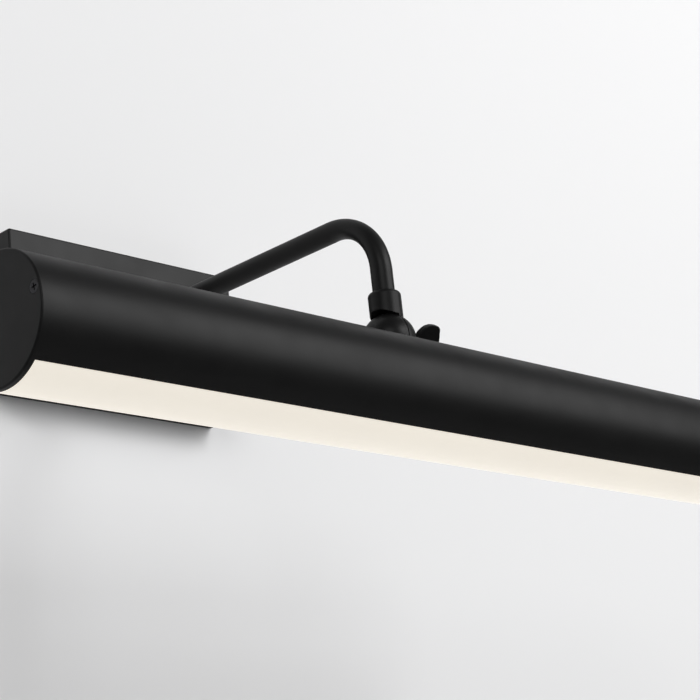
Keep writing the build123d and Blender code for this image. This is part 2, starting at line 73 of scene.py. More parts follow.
def make_camera():
    """A long lens from the lower left of the light, looking up along it, rolled a little."""
    data = bpy.data.cameras.new("camera")
    data.sensor_width = 36.0
    data.lens = CAMERA_LENS
    data.clip_start = 0.05
    data.clip_end = 50.0
    ahead = Vector((sin(CAMERA_PAN) * cos(CAMERA_PITCH),
                    cos(CAMERA_PAN) * cos(CAMERA_PITCH), sin(CAMERA_PITCH)))
    level = Vector((cos(CAMERA_PAN), -sin(CAMERA_PAN), 0.0))
    above = level.cross(ahead)
    right = level * cos(CAMERA_ROLL) - above * sin(CAMERA_ROLL)
    up = level * sin(CAMERA_ROLL) + above * cos(CAMERA_ROLL)
    camera = bpy.data.objects.new("camera", data)
    turn = Matrix((right, up, -ahead)).transposed().to_4x4()
    camera.matrix_world = Matrix.Translation(SWIVEL + CAMERA_OFFSET) @ turn
    bpy.context.scene.collection.objects.link(camera)
    bpy.context.scene.camera = camera


make_camera()


# ---------------------------------------------------------------- material tools
class Nodes:
    """A small helper that writes one node material, with object coordinates in metres."""

    def __init__(self, name):
        self.material = bpy.data.materials.new(name)
        self.material.use_nodes = True
        self.tree = self.material.node_tree
        self.tree.nodes.clear()
        self.output = self.add("ShaderNodeOutputMaterial")
        self.coords = self.add("ShaderNodeTexCoord").outputs["Object"]

    def add(self, kind):
        return self.tree.nodes.new(kind)

    def link(self, a, b):
        self.tree.links.new(a, b)

    def noise(self, scale, detail=3.0, stretch=(1, 1, 1), seed=0.0):
        """Fractal noise. The seed shifts it, so that no two patterns line up."""
        spread = self.add("ShaderNodeMapping")
        spread.inputs["Scale"].default_value = stretch
        spread.inputs["Location"].default_value = (seed, seed, seed)
        self.link(self.coords, spread.inputs["Vector"])
        noise = self.add("ShaderNodeTexNoise")
        noise.inputs["Scale"].default_value = scale
        noise.inputs["Detail"].default_value = detail
        self.link(spread.outputs["Vector"], noise.inputs["Vector"])
        return noise.outputs["Fac"]

    def ramp(self, value, stops):
        """Colours along a value, from (place, colour) stops."""
        ramp = self.add("ShaderNodeValToRGB")
        elements = ramp.color_ramp.elements
        while len(elements) < len(stops):
            elements.new(0.5)
        for element, (place, colour) in zip(elements, stops):
            element.position = place
            element.color = (*colour, 1.0)
        self.link(value, ramp.inputs["Fac"])
        return ramp.outputs["Color"]

    def span(self, value, low, high, start=0.3, stop=0.7):
        """Maps a value from start..stop to low..high, and holds it there outside that."""
        spread = self.add("ShaderNodeMapRange")
        spread.inputs["From Min"].default_value = start
        spread.inputs["From Max"].default_value = stop
        spread.inputs["To Min"].default_value = low
        spread.inputs["To Max"].default_value = high
        self.link(value, spread.inputs["Value"])
        return spread.outputs["Result"]

    def bump(self, height, distance, strength, below=None):
        """A fine bump, laid over another one if that is given."""
        bump = self.add("ShaderNodeBump")
        bump.inputs["Distance"].default_value = distance
        bump.inputs["Strength"].default_value = strength
        self.link(height, bump.inputs["Height"])
        if below is not None:
            self.link(below, bump.inputs["Normal"])
        return bump.outputs["Normal"]

    def principled(self, **settings):
        shader = self.add("ShaderNodeBsdfPrincipled")
        for key, value in settings.items():
            shader.inputs[key.replace("_", " ")].default_value = value
        self.link(shader.outputs["BSDF"], self.output.inputs["Surface"])
        return shader


# The paint's gloss falls to this share of itself across this band of Layer Weight's Facing,
# because a coarse powder coat hides its own gloss when it is seen along the surface.
GRAZING_BAND = (0.45, 0.95)
GRAZING_SHARE = 0.12
PAINT_ROUGHNESS_SPREAD = 0.035
ORANGE_PEEL = 0.000012


def powder_coat(name, dark, light, roughness, level):
    """Black powder coat: an orange-peel grain in two sizes, and slow drifts of tone and gloss."""
    n = Nodes(name)
    shader = n.principled()
    graze = n.add("ShaderNodeLayerWeight")
    graze.inputs["Blend"].default_value = 0.5
    n.link(n.span(graze.outputs["Facing"], level, level * GRAZING_SHARE, *GRAZING_BAND),
           shader.inputs["Specular IOR Level"])
    n.link(n.ramp(n.noise(38.0, 4.0), [(0.3, dark), (0.72, light)]), shader.inputs["Base Color"])
    n.link(n.span(n.noise(60.0, 5.0, seed=3.0), roughness - PAINT_ROUGHNESS_SPREAD,
                  roughness + PAINT_ROUGHNESS_SPREAD), shader.inputs["Roughness"])
    peel = n.bump(n.noise(900.0, 2.0, seed=7.0), ORANGE_PEEL, 0.7)
    n.link(n.bump(n.noise(4200.0, 2.0, seed=11.0), ORANGE_PEEL * 0.3, 0.5, peel),
           shader.inputs["Normal"])
    return n.material


OPAL_GLOW = 0.69


def opal(name):
    """Warm white opal acrylic, lit softly from behind, a little brighter where it faces down."""
    n = Nodes(name)
    shader = n.principled(Roughness=0.42, Specular_IOR_Level=0.35, Emission_Strength=OPAL_GLOW)
    geometry = n.add("ShaderNodeNewGeometry")
    split = n.add("ShaderNodeSeparateXYZ")
    n.link(geometry.outputs["Normal"], split.inputs["Vector"])
    facing = n.span(split.outputs["Z"], 0.0, 1.0, -0.7, -1.0)
    glow = n.ramp(facing, [(0.0, (0.80, 0.745, 0.655)), (1.0, (0.83, 0.775, 0.68))])
    n.link(glow, shader.inputs["Emission Color"])
    n.link(n.ramp(n.noise(24.0), [(0.3, (0.56, 0.53, 0.48)), (0.7, (0.60, 0.57, 0.51))]),
           shader.inputs["Base Color"])
    n.link(n.bump(n.noise(2600.0, 2.0), 0.000006, 0.5), shader.inputs["Normal"])
    return n.material


def plated_steel(name, dark, light, roughness, brushed=(1, 1, 1)):
    """Plated or oxidised steel with fine drawn lines and clouded plating."""
    n = Nodes(name)
    shader = n.principled(Metallic=1.0)
    n.link(n.ramp(n.noise(90.0, 5.0), [(0.3, dark), (0.7, light)]), shader.inputs["Base Color"])
    n.link(n.span(n.noise(400.0, 4.0, brushed), roughness - 0.08, roughness + 0.1),
           shader.inputs["Roughness"])
    n.link(n.bump(n.noise(700.0, 3.0, brushed, 5.0), 0.00001, 0.5), shader.inputs["Normal"])
    return n.material


def moulded(name, dark, light, roughness):
    """Moulded plastic or lacquer with a fine spark texture and slight tone drift."""
    n = Nodes(name)
    shader = n.principled(Specular_IOR_Level=0.4)
    n.link(n.ramp(n.noise(55.0, 3.0), [(0.3, dark), (0.7, light)]), shader.inputs["Base Color"])
    n.link(n.span(n.noise(210.0, 3.0, seed=2.0), roughness - 0.05, roughness + 0.05),
           shader.inputs["Roughness"])
    n.link(n.bump(n.noise(1500.0, 2.0, seed=9.0), 0.00001, 0.6), shader.inputs["Normal"])
    return n.material


# ---------------------------------------------------------------- materials, one per slot
PLATE_TONES = ((0.0045, 0.0045, 0.0046), (0.006, 0.006, 0.0061))
ARM_TONES = ((0.0035, 0.0035, 0.0036), (0.005, 0.005, 0.0051))
SHADE_TONES = ((0.0028, 0.0028, 0.0029), (0.004, 0.004, 0.0041))
SLOT_MATERIALS = {
    "plate_black": powder_coat("plate_black", *PLATE_TONES, 0.45, 0.23),
    "arm_black": powder_coat("arm_black", *ARM_TONES, 0.42, 0.16),
    "swivel_black": powder_coat("swivel_black", *ARM_TONES, 0.4, 0.15),
    "shade_black": powder_coat("shade_black", *SHADE_TONES, 0.43, 0.15),
    "opal": opal("opal"),
    "zinc_steel": plated_steel("zinc_steel", (0.50, 0.51, 0.52), (0.66, 0.66, 0.64), 0.32, (1, 6, 6)),
    "black_screws": plated_steel("black_screws", (0.02, 0.02, 0.022), (0.04, 0.04, 0.042), 0.4),
    "ground_green": moulded("ground_green", (0.01, 0.16, 0.045), (0.015, 0.21, 0.06), 0.3),
    "terminal_white": moulded("terminal_white", (0.70, 0.69, 0.64), (0.76, 0.75, 0.71), 0.4),
    "wire_insulation": moulded("wire_insulation", (0.012, 0.012, 0.013), (0.02, 0.02, 0.021), 0.35),
    "nylon": moulded("nylon", (0.66, 0.65, 0.6), (0.72, 0.71, 0.66), 0.45),
    "tray_aluminium": plated_steel("tray_aluminium", (0.66, 0.67, 0.68), (0.76, 0.76, 0.77), 0.35,
                                   (0.1, 8, 8)),
    "board_white": moulded("board_white", (0.80, 0.80, 0.79), (0.84, 0.84, 0.83), 0.28),
    "led_phosphor": moulded("led_phosphor", (0.80, 0.58, 0.12), (0.85, 0.66, 0.18), 0.3),
    "driver_case": moulded("driver_case", (0.74, 0.74, 0.74), (0.79, 0.79, 0.79), 0.45),
}
NODE_SLOT = {entry["node"]: entry["material_slot"] for entry in frame["record"]["subparts"]}
for node, slot in NODE_SLOT.items():
    mesh = frame["nodes"][node].data
    mesh.materials.clear()
    mesh.materials.append(SLOT_MATERIALS[slot])


# ---------------------------------------------------------------- tools for detailed pieces
NODE_BODY = {node: body for body, nodes in frame["record"]["behaviour"]["bodies"].items()
             for node in nodes}
# Edges that turn more than this stay sharp. Pieces with rounded edges on large flat faces use
# the smaller angle, so that the flat faces aren't shaded as if they curved.
SMOOTH_BELOW = radians(32)
FLAT_FACED = radians(21)
SOLIDS_TOUCH = 0.02 * MM


def add_piece(name, mesh, node, materials, smooth_below=SMOOTH_BELOW):
    """Puts a mesh in the scene in place of a CAD node, on its body, with the given materials."""
    mesh.name = name
    mesh.materials.clear()
    for material in materials:
        mesh.materials.append(material)
    mesh.shade_smooth()
    mesh.set_sharp_from_angle(angle=smooth_below)
    piece = bpy.data.objects.new(name, mesh)
    bpy.context.scene.collection.objects.link(piece)
    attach(piece, NODE_BODY[node])
    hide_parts(node)
    return piece


def mesh_from(bm):
    """Turns a bmesh into a mesh with its normals facing out."""
    bmesh.ops.recalc_face_normals(bm, faces=bm.faces)
    mesh = bpy.data.meshes.new("part")
    bm.to_mesh(mesh)
    bm.free()
    return mesh


def join(meshes):
    """One mesh that holds several closed shells, each with its own material number kept."""
    bm = bmesh.new()
    for mesh in meshes:
        bm.from_mesh(mesh)
        bpy.data.meshes.remove(mesh)
    joined = bpy.data.meshes.new("part")
    bm.to_mesh(joined)
    bm.free()
    return joined


def with_modifiers(mesh, *steps):
    """Runs modifiers, each a type and its settings, over a mesh and gives back the result."""
    holder = bpy.data.objects.new("holder", mesh)
    bpy.context.scene.collection.objects.link(holder)
    for kind, settings in steps:
        modifier = holder.modifiers.new(kind, kind)
        for key, value in settings.items():
            setattr(modifier, key, value)
    seen = holder.evaluated_get(bpy.context.evaluated_depsgraph_get())
    result = bpy.data.meshes.new_from_object(seen)
    bpy.data.objects.remove(holder)
    bpy.data.meshes.remove(mesh)
    return result


def boolean(mesh, tool, operation="DIFFERENCE"):
    """Cuts, joins or intersects a closed mesh with another closed mesh."""
    cutter = bpy.data.objects.new("cutter", tool)
    bpy.context.scene.collection.objects.link(cutter)
    result = with_modifiers(mesh, ("BOOLEAN", {"object": cutter, "operation": operation,
                                               "solver": "EXACT"}))
    bpy.data.objects.remove(cutter)
    bpy.data.meshes.remove(tool)
    return result


def placed(mesh, matrix):
    """Moves a mesh by a matrix and gives it back."""
    mesh.transform(matrix)
    return mesh


def axis_frame(origin, axis, along=(0, 0, 1)):
    """A matrix whose local Z is the axis and whose origin is the given point."""
    z = Vector(axis).normalized()
    x = Vector(along) - z * z.dot(Vector(along))
    if x.length < 1e-6:
        x = Vector((1, 0, 0)) - z * z.x
    x.normalize()
    turn = Matrix((x, z.cross(x), z)).transposed().to_4x4()
    return Matrix.Translation(origin) @ turn


def grid_tube(rings, closed):
    """Skins rings of points. A closed tube joins its last ring to its first."""
    bm = bmesh.new()
    loops = [[bm.verts.new(point) for point in ring] for ring in rings]
    count = len(loops[0])
    pairs = list(zip(loops, loops[1:]))
    if closed:
        pairs.append((loops[-1], loops[0]))
    for lower, upper in pairs:
        for n in range(count):
            bm.faces.new((lower[n], lower[(n + 1) % count], upper[(n + 1) % count], upper[n]))
    if not closed:
        bm.faces.new(reversed(loops[0]))
        bm.faces.new(loops[-1])
    return mesh_from(bm)


def lathe(profile, segments=56):
    """A turned solid: (radius, height) points about local Z, from one end cap to the other."""
    turns = [2 * pi * n / segments for n in range(segments)]
    rings = [[(r * cos(t), r * sin(t), z) for t in turns] for r, z in profile]
    return grid_tube(rings, False)


THREAD_DEPTH = 0.58
THREAD_STEPS = 8


def thread_depth(place, turn, pitch, depth):
    """How far a 60 degree thread cuts in at a place along the axis and a turn about it."""
    phase = (place / pitch - turn / (2 * pi)) % 1.0
    return depth * min(1.0, max(0.0, 1.25 * abs(2 * phase - 1) - 0.125))


def threaded_rod(radius, start, stop, pitch, segments=40):
    """A solid screw thread on local Z between two heights, with tapered ends."""
    depth = THREAD_DEPTH * pitch
    count = max(2, round((stop - start) / pitch * THREAD_STEPS))
    rings = []
    for n in range(count + 1):
        z = start + (stop - start) * n / count
        taper = min(1.0, (stop - z) / pitch, (z - start) / pitch)
        ring = []
        for k in range(segments):
            turn = 2 * pi * k / segments
            r = radius - depth * (1 - taper) - thread_depth(z, turn, pitch, depth) * taper
            ring.append((r * cos(turn), r * sin(turn), z))
        rings.append(ring)
    return grid_tube(rings, False)


def block(low, high, bevel=0.0, segments=3):
    """A box between two corners, with rounded edges if a bevel is given."""
    bm = bmesh.new()
    bmesh.ops.create_cube(bm, size=1.0)
    for vertex in bm.verts:
        vertex.co = Vector([low[i] + (vertex.co[i] + 0.5) * (high[i] - low[i]) for i in range(3)])
    if bevel:
        bmesh.ops.bevel(bm, geom=bm.edges[:], offset=bevel, segments=segments, affect="EDGES",
                        profile=0.5)
    return mesh_from(bm)


def prism(outline, low, high):
    """A solid from an outline in local XY, between two heights."""
    return grid_tube([[(x, y, z) for x, y in outline] for z in (low, high)], False)


def solids_of(node):
    """The boxes of a node's separate solids, found from its mesh: (low, high) corners."""
    bm = bmesh.new()
    bm.from_mesh(frame["nodes"][node].data)
    boxes, seen = [], set()
    for start in bm.verts:
        if start in seen:
            continue
        seen.add(start)
        stack, low, high = [start], start.co.copy(), start.co.copy()
        while stack:
            vertex = stack.pop()
            low = Vector(map(min, low, vertex.co))
            high = Vector(map(max, high, vertex.co))
            for edge in vertex.link_edges:
                other = edge.other_vert(vertex)
                if other not in seen:
                    seen.add(other)
                    stack.append(other)
        boxes.append((low, high))
    bm.free()
    slack = Vector((1, 1, 1)) * SOLIDS_TOUCH
    groups = []
    for low, high in boxes:
        apart = []
        for other_low, other_high in groups:
            if all(low[i] - slack[i] <= other_high[i] and other_low[i] <= high[i] + slack[i]
                   for i in range(3)):
                low, high = Vector(map(min, low, other_low)), Vector(map(max, high, other_high))
            else:
                apart.append((other_low, other_high))
        groups = apart + [(low, high)]
    return sorted(groups, key=lambda box: tuple(box[0]))


def cross_cutter(reach, width, depth):
    """The tapered cross of a cross-recess bit, pointing down local -Z from a height of 0."""
    tip, over = 0.45, 0.4 * depth       # width at the tip, and how far it stands above 0
    arms = []
    for across in (0, 1):
        rings = []
        for z, scale in ((-depth, tip), (over, 1.0 + (1.0 - tip) * over / depth)):
            half_long, half_wide = reach * scale, width / 2 * (0.6 + 0.4 * scale)
            corners = [(half_long, half_wide), (-half_long, half_wide),
                       (-half_long, -half_wide), (half_long, -half_wide)]
            if across:
                corners = [(-y, x) for x, y in corners]
            rings.append([(x, y, z) for x, y in corners])
        arms.append(grid_tube(rings, False))
    return boolean(arms[0], arms[1], "UNION")


def pan_head(radius, height):
    """A pan head's turned shape, its underside at 0, with a soft crown."""
    side, crown, steps = 0.33 * height, 0.93 * height, 8
    profile = [(0.02 * radius, 0.0), (radius * 0.96, 0.0), (radius, 0.08 * height), (radius, side)]
    for n in range(1, steps + 1):
        angle = n / steps * pi / 2
        profile.append((radius * (0.65 + 0.38 * cos(angle)), side + (crown - side) * sin(angle)))
    profile += [(radius * 0.3, height * 0.985), (radius * 0.02, height)]
    return lathe(profile)


def screw(head, core_r, length, pitch, recess):
    """A pan-head screw on local Z: its head stands above 0 and its thread goes down."""
    radius, height = head
    top = pan_head(radius, height)
    if recess == "cross":
        cutter = placed(cross_cutter(radius * 0.52, radius * 0.2, height * 0.8),
                        Matrix.Translation((0, 0, height)))
    else:
        cutter = block((-radius * 1.2, -radius * 0.12, height * 0.45),
                       (radius * 1.2, radius * 0.12, height * 1.2))
    top = boolean(top, cutter)
    shank = threaded_rod(core_r, -length, 0.3 * height, pitch)
    return join([top, shank])


def hex_nut(flats, bore_r, height):
    """A hexagon nut on local Z from 0, its corners chamfered top and bottom."""
    corner, face = flats / 2 / cos(pi / 6), flats / 2 * 0.94
    hexagon = [(corner * cos(n * pi / 3), corner * sin(n * pi / 3)) for n in range(6)]
    chamfer = (corner - face) * 0.58
    turned = lathe([(face, 0.0), (corner, chamfer), (corner, height - chamfer), (face, height)], 96)
    nut = boolean(prism(hexagon, 0.0, height), turned, "INTERSECT")
    mouth = bore_r * 1.12
    bore = lathe([(mouth, -0.01 * height), (bore_r, 0.14 * height), (bore_r, 0.86 * height),
                  (mouth, 1.01 * height)])
    return boolean(nut, bore)


def rounded_route(corners, radii, step=radians(7.5)):
    """Straight runs joined by arcs, as points with their directions."""
    route = [(corners[0], (corners[1] - corners[0]).normalized())]
    for before, corner, after, radius in zip(corners, corners[1:], corners[2:], radii):
        come, go = (corner - before).normalized(), (after - corner).normalized()
        turn = come.angle(go)
        back = radius * sin(turn / 2) / cos(turn / 2)
        centre = corner - come * back + (go - come * come.dot(go)).normalized() * radius
        start = corner - come * back - centre
        axis = come.cross(go).normalized()
        count = max(2, round(turn / step))
        for n in range(count + 1):
            spin = Matrix.Rotation(turn * n / count, 3, axis)
            route.append((centre + spin @ start, spin @ come))
    route.append((corners[-1], (corners[-1] - corners[-2]).normalized()))
    return route


WIRE_SEGMENTS = 18


def swept_round(route, radius):
    """A round rod along a route of points and directions."""
    rings = []
    side = route[0][1].orthogonal().normalized()
    for point, ahead in route:
        side = (side - ahead * side.dot(ahead)).normalized()
        across = ahead.cross(side)
        rings.append([point + (side * cos(t) + across * sin(t)) * radius
                      for t in (2 * pi * n / WIRE_SEGMENTS for n in range(WIRE_SEGMENTS))])
    return grid_tube(rings, False)


# ---------------------------------------------------------------- arm tube
BEND_RADIUS = 27.0 * MM
TUBE_WALL = 1.5 * MM
TUBE_THREAD = 8.5 * MM
TUBE_PITCH = 1.0 * MM
TUBE_THREAD_DEPTH = 0.5 * MM
TUBE_SEGMENTS = 64
BEND_FLATTENING = 0.09
BEND_WIDENING = 0.03
# stations along the straight run, the bend and the drop
RUN_STEPS = 41
BEND_STEPS = 48
DROP_STEPS = 6


def arm_stations(low, high, radius):
    """Places along the tube, each with its angle round the bend and whether it is threaded."""
    level, down = high[2] - radius, low[1] + radius
    bend_y, bend_z = down + BEND_RADIUS, level - BEND_RADIUS
    tail = high[1] - TUBE_THREAD
    stations = []
    count = round(TUBE_THREAD / TUBE_PITCH * THREAD_STEPS)
    for n in range(count + 1):
        stations.append((Vector((0, high[1] - TUBE_THREAD * n / count, level)), 0.0, True))
    for n in range(1, RUN_STEPS):
        stations.append((Vector((0, tail + (bend_y - tail) * n / RUN_STEPS, level)), 0.0, False))
    for n in range(BEND_STEPS + 1):
        angle = pi / 2 * n / BEND_STEPS
        place = Vector((0, bend_y - BEND_RADIUS * sin(angle), bend_z + BEND_RADIUS * cos(angle)))
        stations.append((place, angle, False))
    for n in range(1, DROP_STEPS + 1):
        place = Vector((0, down, bend_z + (low[2] - bend_z) * n / DROP_STEPS))
        stations.append((place, pi / 2, False))
    return stations


def tail_cut(from_end, turn):
    """How deep the thread cuts into the tube's tail, with a tapered start and run-out."""
    taper = min(1.0, from_end / TUBE_PITCH)
    cut = thread_depth(from_end, turn, TUBE_PITCH, TUBE_THREAD_DEPTH) * taper
    cut += TUBE_THREAD_DEPTH * (1 - taper)
    return cut * min(1.0, (TUBE_THREAD - from_end) / (0.5 * TUBE_PITCH))


def make_arm_tube():
    """One bent tube with a threaded tail. The bend is a little flattened, as a real bend is."""
    low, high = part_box("arm_tube")
    radius = (high[0] - low[0]) / 2
    thin = radius - TUBE_WALL
    outer, inner = [], []
    for point, angle, threaded in arm_stations(low, high, radius):
        up = Vector((0, -sin(angle), cos(angle)))
        bent = sin(2 * angle) ** 0.7 if 0 < angle < pi / 2 - 1e-6 else 0.0
        squash = 1 - BEND_FLATTENING * bent
        tall, wide = radius * squash, radius * (1 + BEND_WIDENING * bent)
        ring, bore = [], []
        for n in range(TUBE_SEGMENTS):
            turn = 2 * pi * n / TUBE_SEGMENTS
            cut = tail_cut(high[1] - point.y, turn) if threaded else 0.0
            ring.append(point + Vector((cos(turn) * (wide - cut), 0, 0))
                        + up * sin(turn) * (tall - cut))
            bore.append(point + Vector((cos(turn) * thin, 0, 0)) + up * sin(turn) * thin * squash)
        outer.append(ring)
        inner.append(bore)
    add_piece("bent_arm_tube", grid_tube(outer + inner[::-1], True), "arm_tube",
              [SLOT_MATERIALS["arm_black"]])


make_arm_tube()

# ---------------------------------------------------------------- wing nut
WING_ANGLE = radians(35.0)
WING_THICKNESS = 2.4 * MM
WING_SHOULDER_RADIUS = 8.5 * MM
WING_CORNER_RADIUS = 3.0 * MM
WING_SPAN = 11.3 * MM
WING_ROOT = 3.8 * MM
WING_RAKE = 1.5 * MM
WING_GAP = 6.2 * MM
HUB_LENGTH = 8.0 * MM
HUB_RADIUS = 4.8 * MM
HUB_TOP_RADIUS = 3.9 * MM
STUD_RADIUS = 2.5 * MM
CASTING_VOXEL = 0.24 * MM
CASTING_SMOOTHING = 7


def lobe_outline(side, rise):
    """One wing seen flat: a long round shoulder, a tight corner, a raked end and the gap."""
    r, shoulder_x = WING_SHOULDER_RADIUS, WING_ROOT + WING_SHOULDER_RADIUS
    points = [(0.9 * MM, 2.2 * MM), (0.5 * MM, 3.3 * MM)]
    for n in range(13):                 # the shoulder, from the root to the top
        angle = radians(185 - 95 * n / 12)
        points.append((shoulder_x + r * cos(angle), WING_SPAN - r + r * sin(angle)))
    corner_x = rise - WING_RAKE - WING_CORNER_RADIUS
    corner_y = WING_SPAN - WING_CORNER_RADIUS
    for n in range(7):                  # the corner at the wing's tip
        angle = radians(88 - 62 * n / 6)
        points.append((corner_x + WING_CORNER_RADIUS * cos(angle),
                       corner_y + WING_CORNER_RADIUS * sin(angle)))
    half_gap = WING_GAP / 2
    points += [(rise, half_gap + 1.4 * MM), (rise - 0.5 * MM, half_gap + 0.5 * MM),
               (rise - 1.5 * MM, half_gap + 0.05 * MM), (rise - 3.6 * MM, half_gap),
               (HUB_LENGTH + 2.5 * MM, half_gap), (HUB_LENGTH + 0.8 * MM, half_gap - 0.9 * MM),
               (HUB_LENGTH - 0.6 * MM, 1.0 * MM)]
    return [(x, y * side) for x, y in points]


def make_wing_nut():
    """A cast wing nut: a round hub and two wings that run into it with soft fillets."""
    low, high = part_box("wing_nut")
    rise = high[0] - low[0]
    seat = Vector((low[0], SWIVEL.y, SWIVEL.z))
    hub = lathe([(0.3 * MM, 0.0), (HUB_RADIUS - 0.3 * MM, 0.0), (HUB_RADIUS, 0.35 * MM),
                 (HUB_RADIUS - 0.1 * MM, 2.0 * MM), (HUB_TOP_RADIUS, HUB_LENGTH - 0.5 * MM),
                 (HUB_TOP_RADIUS - 0.5 * MM, HUB_LENGTH), (0.3 * MM, HUB_LENGTH)])
    hub = placed(hub, axis_frame(seat, (1, 0, 0)))
    outward = Vector((0, -sin(WING_ANGLE), cos(WING_ANGLE)))
    flat = Matrix((Vector((1, 0, 0)), outward, Vector((1, 0, 0)).cross(outward)))
    flat = Matrix.Translation(seat) @ flat.transposed().to_4x4()
    half = WING_THICKNESS / 2
    wings = [placed(prism(lobe_outline(side, rise - 0.05 * MM), -half, half), flat)
             for side in (1, -1)]
    casting = with_modifiers(join([hub] + wings),
                             ("REMESH", {"mode": "VOXEL", "voxel_size": CASTING_VOXEL}),
                             ("SMOOTH", {"factor": 0.5, "iterations": CASTING_SMOOTHING}))
    bore = lathe([(STUD_RADIUS, -1.0 * MM), (STUD_RADIUS, 1.5 * rise)], 40)
    casting = boolean(casting, placed(bore, axis_frame(seat, (1, 0, 0))))
    add_piece("cast_wing_nut", casting, "wing_nut", [SLOT_MATERIALS["swivel_black"]])


make_wing_nut()


# ---------------------------------------------------------------- stud and screws
STUD_PITCH = 0.8 * MM
# name, CAD node, axis, then head height, thread radius and pitch in millimetres, and recess
PAN_SCREWS = (
    ("cross_cover_screws", "cover_screws", 0, 2.2, 1.85, 0.8, "cross"),
    ("slotted_ground_screw", "ground_screw", 1, 2.6, 1.85, 0.8, "slot"),
    ("pan_board_screws", "board_screws", 2, 1.4, 1.25, 0.5, "cross"),
    ("pan_driver_screws", "driver_screws", 2, 1.6, 1.25, 0.5, "cross"),
)
CAP_SCREW_RADIUS = 1.25 * MM
CAP_SCREW_HEAD = 2.6 * MM
CAP_SCREW_PITCH = 0.7 * MM


def make_pivot_stud():
    """The swivel's stud, threaded along its whole length, with tapered ends."""
    low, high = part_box("pivot_stud")
    radius = (high[2] - low[2]) / 2
    start = Vector((low[0], SWIVEL.y, SWIVEL.z))
    stud = threaded_rod(radius, 0.0, high[0] - low[0], STUD_PITCH)
    add_piece("threaded_stud", placed(stud, axis_frame(start, (1, 0, 0))), "pivot_stud",
              [SLOT_MATERIALS["black_screws"]])


def head_side(node, low, high, axis):
    """The larger end of a screw that stands on the given axis: +1 or -1."""
    mesh = frame["nodes"][node].data
    others = [i for i in range(3) if i != axis]
    middle = [(low[i] + high[i]) / 2 for i in range(3)]
    wide = (high[others[0]] - low[others[0]]) / 2 * 0.9
    inside = [vertex.co for vertex in mesh.vertices
              if all(low[i] - 1e-5 <= vertex.co[i] <= high[i] + 1e-5 for i in range(3))
              and max(abs(vertex.co[i] - middle[i]) for i in others) > wide]
    mean = sum(co[axis] for co in inside) / len(inside)
    return 1 if mean > middle[axis] else -1


def make_screws(name, node, axis, head_height, core_r, pitch, recess):
    """Replaces a node's screws, each with a proper head, recess and thread."""
    screws = []
    for low, high in solids_of(node):
        side = head_side(node, low, high, axis)
        others = [i for i in range(3) if i != axis]
        radius = (high[others[0]] - low[others[0]]) / 2
        seat = (low + high) / 2
        seat[axis] = (high[axis] - head_height) if side > 0 else (low[axis] + head_height)
        direction = Vector((0, 0, 0))
        direction[axis] = side
        length = high[axis] - low[axis] - head_height
        made = screw((radius, head_height), core_r, length, pitch, recess)
        turn = Matrix.Rotation(radians(25 + 41 * len(screws)), 4, "Z")
        screws.append(placed(made, axis_frame(seat, direction) @ turn))
    add_piece(name, join(screws), node, [SLOT_MATERIALS[NODE_SLOT[node]]])


def make_cap_screws():
    """Countersunk cross-recess screws, flush with the end caps."""
    screws = []
    core, head = CAP_SCREW_RADIUS, CAP_SCREW_HEAD
    for low, high in solids_of("end_cap_screws"):
        side = 1 if low[0] > 0 else -1
        length = high[0] - low[0]
        y = high[1] - head if high[1] > SHADE_AXIS.y else low[1] + head
        seat = Vector((high[0] if side > 0 else low[0], y, (low[2] + high[2]) / 2))
        under = -(head - core)
        top = lathe([(0.05 * MM, under), (core, under), (head - 0.12 * MM, -0.12 * MM),
                     (head - 0.2 * MM, 0.0), (0.05 * MM, 0.0)])
        top = boolean(top, cross_cutter(head * 0.55, head * 0.22, 1.1 * MM))
        made = join([top, threaded_rod(core, -length, under * 0.9, CAP_SCREW_PITCH)])
        turn = Matrix.Rotation(radians(12 + 33 * len(screws)), 4, "Z")
        screws.append(placed(made, axis_frame(seat, (side, 0, 0)) @ turn))
    add_piece("countersunk_cap_screws", join(screws), "end_cap_screws",
              [SLOT_MATERIALS["black_screws"]])


make_pivot_stud()
for name, node, axis, head_height, core_r, pitch, recess in PAN_SCREWS:
    make_screws(name, node, axis, head_height * MM, core_r * MM, pitch * MM, recess)
make_cap_screws()


# ---------------------------------------------------------------- nuts, block, wires and strap
LAMP_THREAD_RADIUS = 5.0 * MM
LAMP_PITCH = 1.0 * MM
NIPPLE_BORE_RADIUS = 3.5 * MM
NUT_FLATS = 13.0 * MM
NUT_HEIGHT = 3.0 * MM
STRAP_GAUGE = 1.5 * MM
STRAP_BEND = 2.5 * MM
STRAP_BEND_STEPS = 8
STRAP_EDGE = 0.18 * MM
TAB_HALF_HEIGHT = 7.0 * MM
BOX_SCREW_SPACING = 83.3 * MM
BOX_SLOT_LENGTH = 9.0 * MM
BOX_SLOT_WIDTH = 4.4 * MM
SUPPLY_HOLE_X = -22.0 * MM
SUPPLY_HOLE_RADIUS = 7.0 * MM


def make_lock_nuts():
    """Chamfered hexagon nuts on the arm's tail and on the neck nipple."""
    low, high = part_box("arm_lock_nut")
    centre = Vector(((low[0] + high[0]) / 2, low[1], (low[2] + high[2]) / 2))
    nut = placed(hex_nut(NUT_FLATS, LAMP_THREAD_RADIUS, high[1] - low[1]),
                 axis_frame(centre, (0, 1, 0), (1, 0, 0)))
    add_piece("chamfered_arm_nut", nut, "arm_lock_nut", [SLOT_MATERIALS["zinc_steel"]])
    start = middle_of("neck_lock_nut") - NECK_DIRECTION * NUT_HEIGHT / 2
    nut = placed(hex_nut(NUT_FLATS, LAMP_THREAD_RADIUS, NUT_HEIGHT),
                 axis_frame(start, NECK_DIRECTION, (1, 0, 0)))
    add_piece("chamfered_neck_nut", nut, "neck_lock_nut", [SLOT_MATERIALS["zinc_steel"]])


